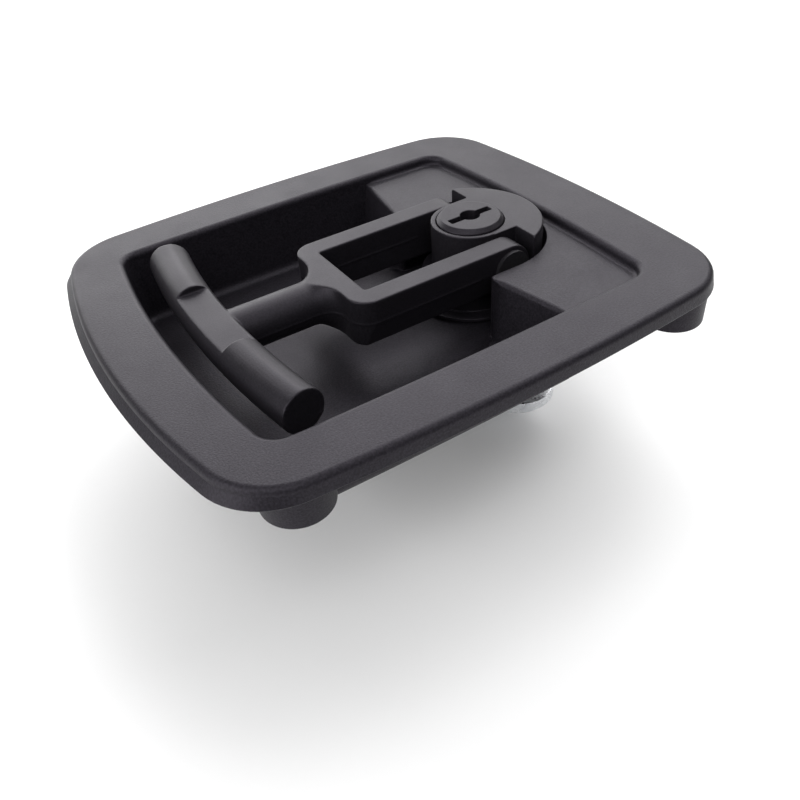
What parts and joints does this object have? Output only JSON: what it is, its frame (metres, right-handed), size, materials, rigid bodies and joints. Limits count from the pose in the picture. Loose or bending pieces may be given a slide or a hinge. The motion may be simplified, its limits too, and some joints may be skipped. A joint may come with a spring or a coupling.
{
  "type": "folding t-handle lock",
  "caption": "Recessed folding T-handle lock: a bowed black cast pan, a forked T-handle that lifts out of it, a keyed rotor, and a spindle that swings a cam behind the panel.",
  "frame": {"origin": "middle of the rear screw pattern, in the plane of the flange that rests on the panel", "axes": "+Z out of the panel, +X from the grip towards the rotor, +Y to the left of that"},
  "size_m": [0.1303, 0.1118, 0.0489],
  "materials": {
    "coat": "black fine-textured powder coat on die-cast zinc",
    "satin_coat": "black satin powder coat on die-cast zinc",
    "zinc": "bright zinc plate",
    "steel": "plain ground steel",
    "brass": "machined",
    "nylon": "matte",
    "rubber": "matte"
  },
  "bodies": {
    "pan": {"pan": "coat", "spindle_bush": "brass", "shaft_seal": "rubber", "stop_pin": "steel"},
    "rotor": {"rotor": "satin_coat", "pivot_pins": "steel", "pivot_washers": "nylon", "lock_barrel": "zinc", "spindle": "zinc", "spindle_screws": "steel", "thrust_washer": "zinc", "retaining_ring": "steel", "cam": "zinc", "cam_washer": "zinc", "spring_washer": "zinc", "cam_bolt": "zinc"},
    "handle": {"t_handle": "satin_coat"},
    "plug": {"lock_plug": "satin_coat", "wafers": "brass", "tail_cam": "brass"},
    "bolt": {"lock_bolt": "zinc"}
  },
  "joints": [
    {"name": "handle_lift", "type": "hinge", "parent": "rotor", "child": "handle", "pos_m": [0.0243, 0, -0.0006], "axis": [0, 1, 0], "range_deg": [0, 90]},
    {"name": "rotor_turn", "type": "hinge", "parent": "pan", "child": "rotor", "pos_m": [0.0243, 0, 0], "axis": [0, 0, 1], "range_deg": [0, 45]},
    {"name": "plug_turn", "type": "hinge", "parent": "rotor", "child": "plug", "pos_m": [0.0243, 0, 0], "axis": [0, 0, -1], "range_deg": [0, 90]},
    {"name": "bolt_slide", "type": "slide", "parent": "rotor", "child": "bolt", "axis": [1, 0, 0], "range_m": [0, 0.003]}
  ],
  "couplings": [
    {"joint": "rotor_turn", "follows": "handle_lift", "ratio": 0.5},
    {"joint": "plug_turn", "follows": "bolt_slide", "rad_per_m": 523.6}
  ]
}
